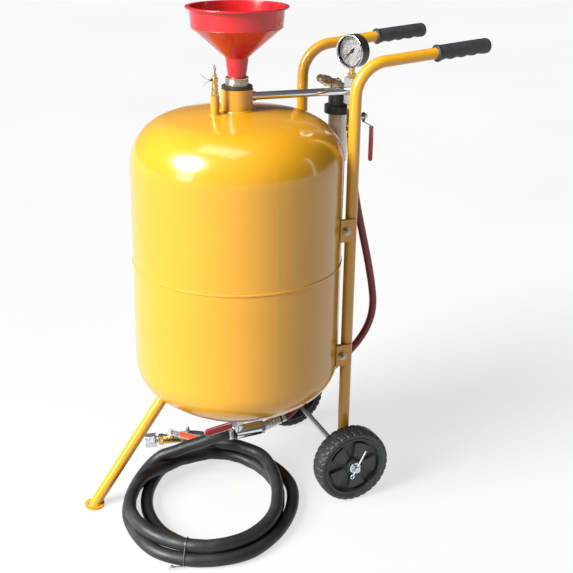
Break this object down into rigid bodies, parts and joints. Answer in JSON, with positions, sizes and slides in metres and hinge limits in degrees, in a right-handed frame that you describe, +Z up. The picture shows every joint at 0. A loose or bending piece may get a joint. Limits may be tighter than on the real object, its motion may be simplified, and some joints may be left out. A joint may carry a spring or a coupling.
{
  "type": "pressure blast pot on a hand truck",
  "caption": "Upright pressure tank for abrasive blasting on a two-wheeled hand truck, with filler funnel, air manifold, gauge, valves and a coiled blast hose.",
  "frame": {"origin": "on the floor under the middle of the machine, measured without its hoses", "axes": "+Z up, +Y towards the handle grips, -Y towards the front leg, +X towards the gauge side wheel"},
  "size_m": [0.4814, 0.777, 0.962],
  "materials": {
    "yellow_paint": "gloss enamel",
    "black_rubber": "satin moulded rubber",
    "zinc_steel": "zinc plated",
    "red_plastic": "glossy moulded plastic",
    "brass": "turned brass",
    "chrome": "bright plated",
    "wheel_plastic": "moulded plastic with a slight sheen",
    "tyre_rubber": "matt rubber",
    "aluminium": "bright machined",
    "black_plastic": "satin moulded plastic",
    "dial_white": "white enamel with black ticks",
    "lens_glass": "clear",
    "red_vinyl": "dipped vinyl",
    "orange_vinyl": "dipped vinyl",
    "red_hose_rubber": "smooth rubber",
    "black_hose_rubber": "smooth rubber with a soft sheen"
  },
  "bodies": {
    "machine": {"tank_upper_shell": "yellow_paint", "tank_lower_shell": "yellow_paint", "girth_weld": "yellow_paint", "filler_neck": "yellow_paint", "neck_gasket": "black_rubber", "funnel_collar": "zinc_steel", "relief_socket": "yellow_paint", "relief_valve_body": "brass", "feed_pipe": "chrome", "tank_tabs": "yellow_paint", "upper_bolts": "zinc_steel", "lower_bolts": "zinc_steel", "front_leg": "yellow_paint", "foot_disc": "yellow_paint", "outlet_nipple": "zinc_steel", "left_upright": "yellow_paint", "right_upright": "yellow_paint", "left_grip": "black_rubber", "right_grip": "black_rubber", "axle": "zinc_steel", "split_pins": "zinc_steel", "manifold_block": "aluminium", "gauge_stem": "brass", "gauge_case": "black_plastic", "gauge_bezel": "chrome", "gauge_dial": "dial_white", "gauge_lens": "lens_glass", "filter_head": "black_plastic", "filter_ring": "black_plastic", "filter_bowl": "aluminium", "inlet_valve_body": "chrome", "inlet_nipple": "brass", "hose_valve_body": "zinc_steel", "metering_valve_body": "zinc_steel", "mixing_tee": "chrome", "hose_tail": "zinc_steel", "red_hose": "red_hose_rubber", "blast_hose_lead": "black_hose_rubber", "blast_hose_coil": "black_hose_rubber", "blast_hose_end": "black_hose_rubber", "nozzle_valve_body": "brass", "nozzle": "zinc_steel"},
    "funnel": {"funnel": "red_plastic"},
    "plunger": {"closing_plunger": "black_rubber"},
    "relief_rod": {"relief_rod": "zinc_steel"},
    "left_wheel": {"left_wheel": "wheel_plastic", "left_tyre": "tyre_rubber"},
    "right_wheel": {"right_wheel": "wheel_plastic", "right_tyre": "tyre_rubber"},
    "needle": {"gauge_needle": "black_plastic"},
    "drain_cock": {"drain_cock": "brass"},
    "inlet_handle": {"inlet_ball": "zinc_steel", "inlet_lever": "red_vinyl"},
    "hose_handle": {"hose_ball": "zinc_steel", "hose_lever": "red_vinyl"},
    "metering_handle": {"metering_ball": "zinc_steel", "metering_lever": "red_vinyl"},
    "nozzle_handle": {"nozzle_ball": "zinc_steel", "nozzle_lever": "orange_vinyl"}
  },
  "joints": [
    {"name": "funnel_lift", "type": "slide", "parent": "machine", "child": "funnel", "axis": [0, 0, 1], "range_m": [0, 0.06]},
    {"name": "plunger_rise", "type": "slide", "parent": "machine", "child": "plunger", "axis": [0, 0, 1], "range_m": [0, 0.006]},
    {"name": "relief_pull", "type": "slide", "parent": "machine", "child": "relief_rod", "axis": [0, 0, 1], "range_m": [0, 0.004], "stiffness_N_per_m": 2000},
    {"name": "left_wheel_spin", "type": "hinge", "parent": "machine", "child": "left_wheel", "pos_m": [-0.1495, 0.1155, 0.075], "axis": [1, 0, 0], "continuous": true},
    {"name": "right_wheel_spin", "type": "hinge", "parent": "machine", "child": "right_wheel", "pos_m": [0.1495, 0.1155, 0.075], "axis": [1, 0, 0], "continuous": true},
    {"name": "needle_turn", "type": "hinge", "parent": "machine", "child": "needle", "pos_m": [0.024, 0.1535, 0.872], "axis": [-0.3907, 0.9205, 0], "range_deg": [0, 270], "stiffness_Nm_per_rad": 0.002},
    {"name": "drain_turn", "type": "hinge", "parent": "machine", "child": "drain_cock", "pos_m": [-0.028, 0.1535, 0.64], "axis": [0, 0, 1], "range_deg": [0, 180]},
    {"name": "inlet_turn", "type": "hinge", "parent": "machine", "child": "inlet_handle", "pos_m": [-0.066, 0.1535, 0.797], "axis": [0, 1, 0], "range_deg": [0, 90]},
    {"name": "hose_valve_turn", "type": "hinge", "parent": "machine", "child": "hose_handle", "pos_m": [0.03, 0.1535, 0.747], "axis": [0, -1, 0], "range_deg": [0, 90]},
    {"name": "metering_turn", "type": "hinge", "parent": "machine", "child": "metering_handle", "pos_m": [0, -0.0685, 0.137], "axis": [1, 0, 0], "range_deg": [0, 83]},
    {"name": "nozzle_turn", "type": "hinge", "parent": "machine", "child": "nozzle_handle", "pos_m": [-0.114, -0.1725, 0.042], "axis": [0.4241, -0.2852, 0.8596], "range_deg": [-5, 23]}
  ]
}
